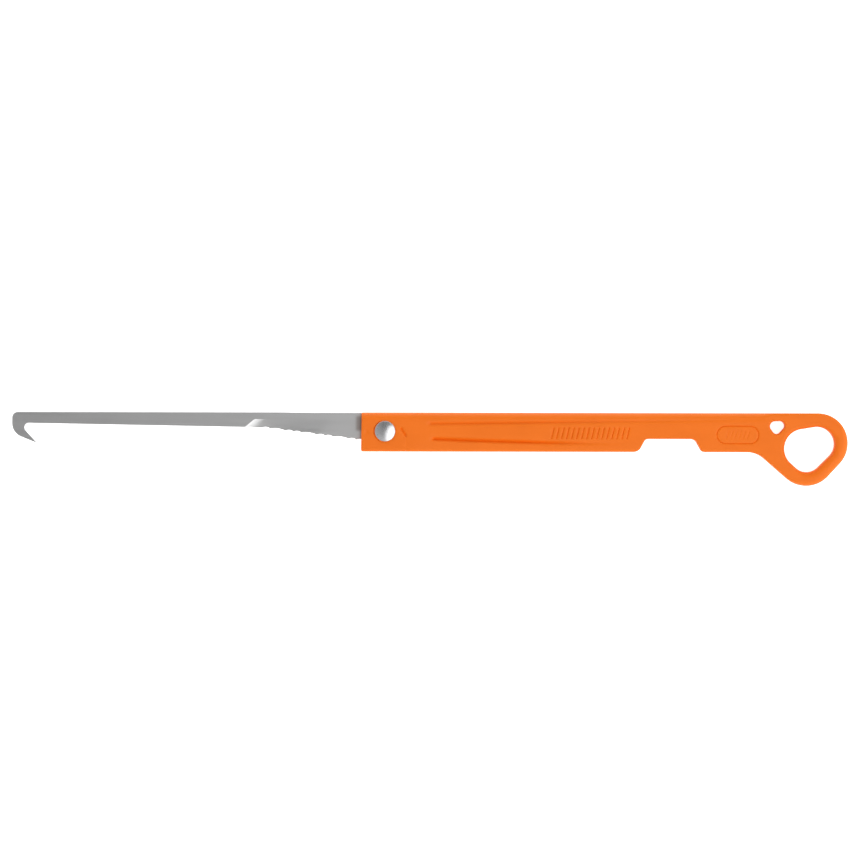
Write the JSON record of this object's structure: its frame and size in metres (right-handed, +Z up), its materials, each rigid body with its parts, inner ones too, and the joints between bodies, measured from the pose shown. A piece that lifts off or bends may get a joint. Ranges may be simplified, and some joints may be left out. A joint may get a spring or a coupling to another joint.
{
  "type": "folding hook knife",
  "caption": "Slim folding hook tool: a stainless hook blade with a serrated cord-cutting edge, riveted in a slotted moulded handle with a finger notch and a clip ring.",
  "frame": {"origin": "centre of the open tool's footprint, on the surface that the tool lies on", "axes": "+X from the hook along the tool to the clip ring, +Y across the tool towards its straight upper edge, +Z up through its thickness, out of the side with the domed rivet head; the tool lies flat on its back side with the blade open"},
  "size_m": [0.2926, 0.0254, 0.0091],
  "materials": {
    "handle": "moulded glass-filled nylon, fine matte texture",
    "blade": "satin stainless with a ground cutting edge",
    "rivet": "polished stainless",
    "washer": "phosphor bronze"
  },
  "bodies": {
    "handle": {"handle_body": "handle", "pivot_barrel": "rivet", "pivot_stud": "rivet", "washer_back": "washer", "washer_front": "washer"},
    "blade": {"hook_blade": "blade"}
  },
  "joints": [
    {"name": "blade_fold", "type": "hinge", "parent": "handle", "child": "blade", "pos_m": [-0.01568, 0.00616, 0.004], "axis": [0, 0, 1], "range_deg": [0, 180]}
  ]
}
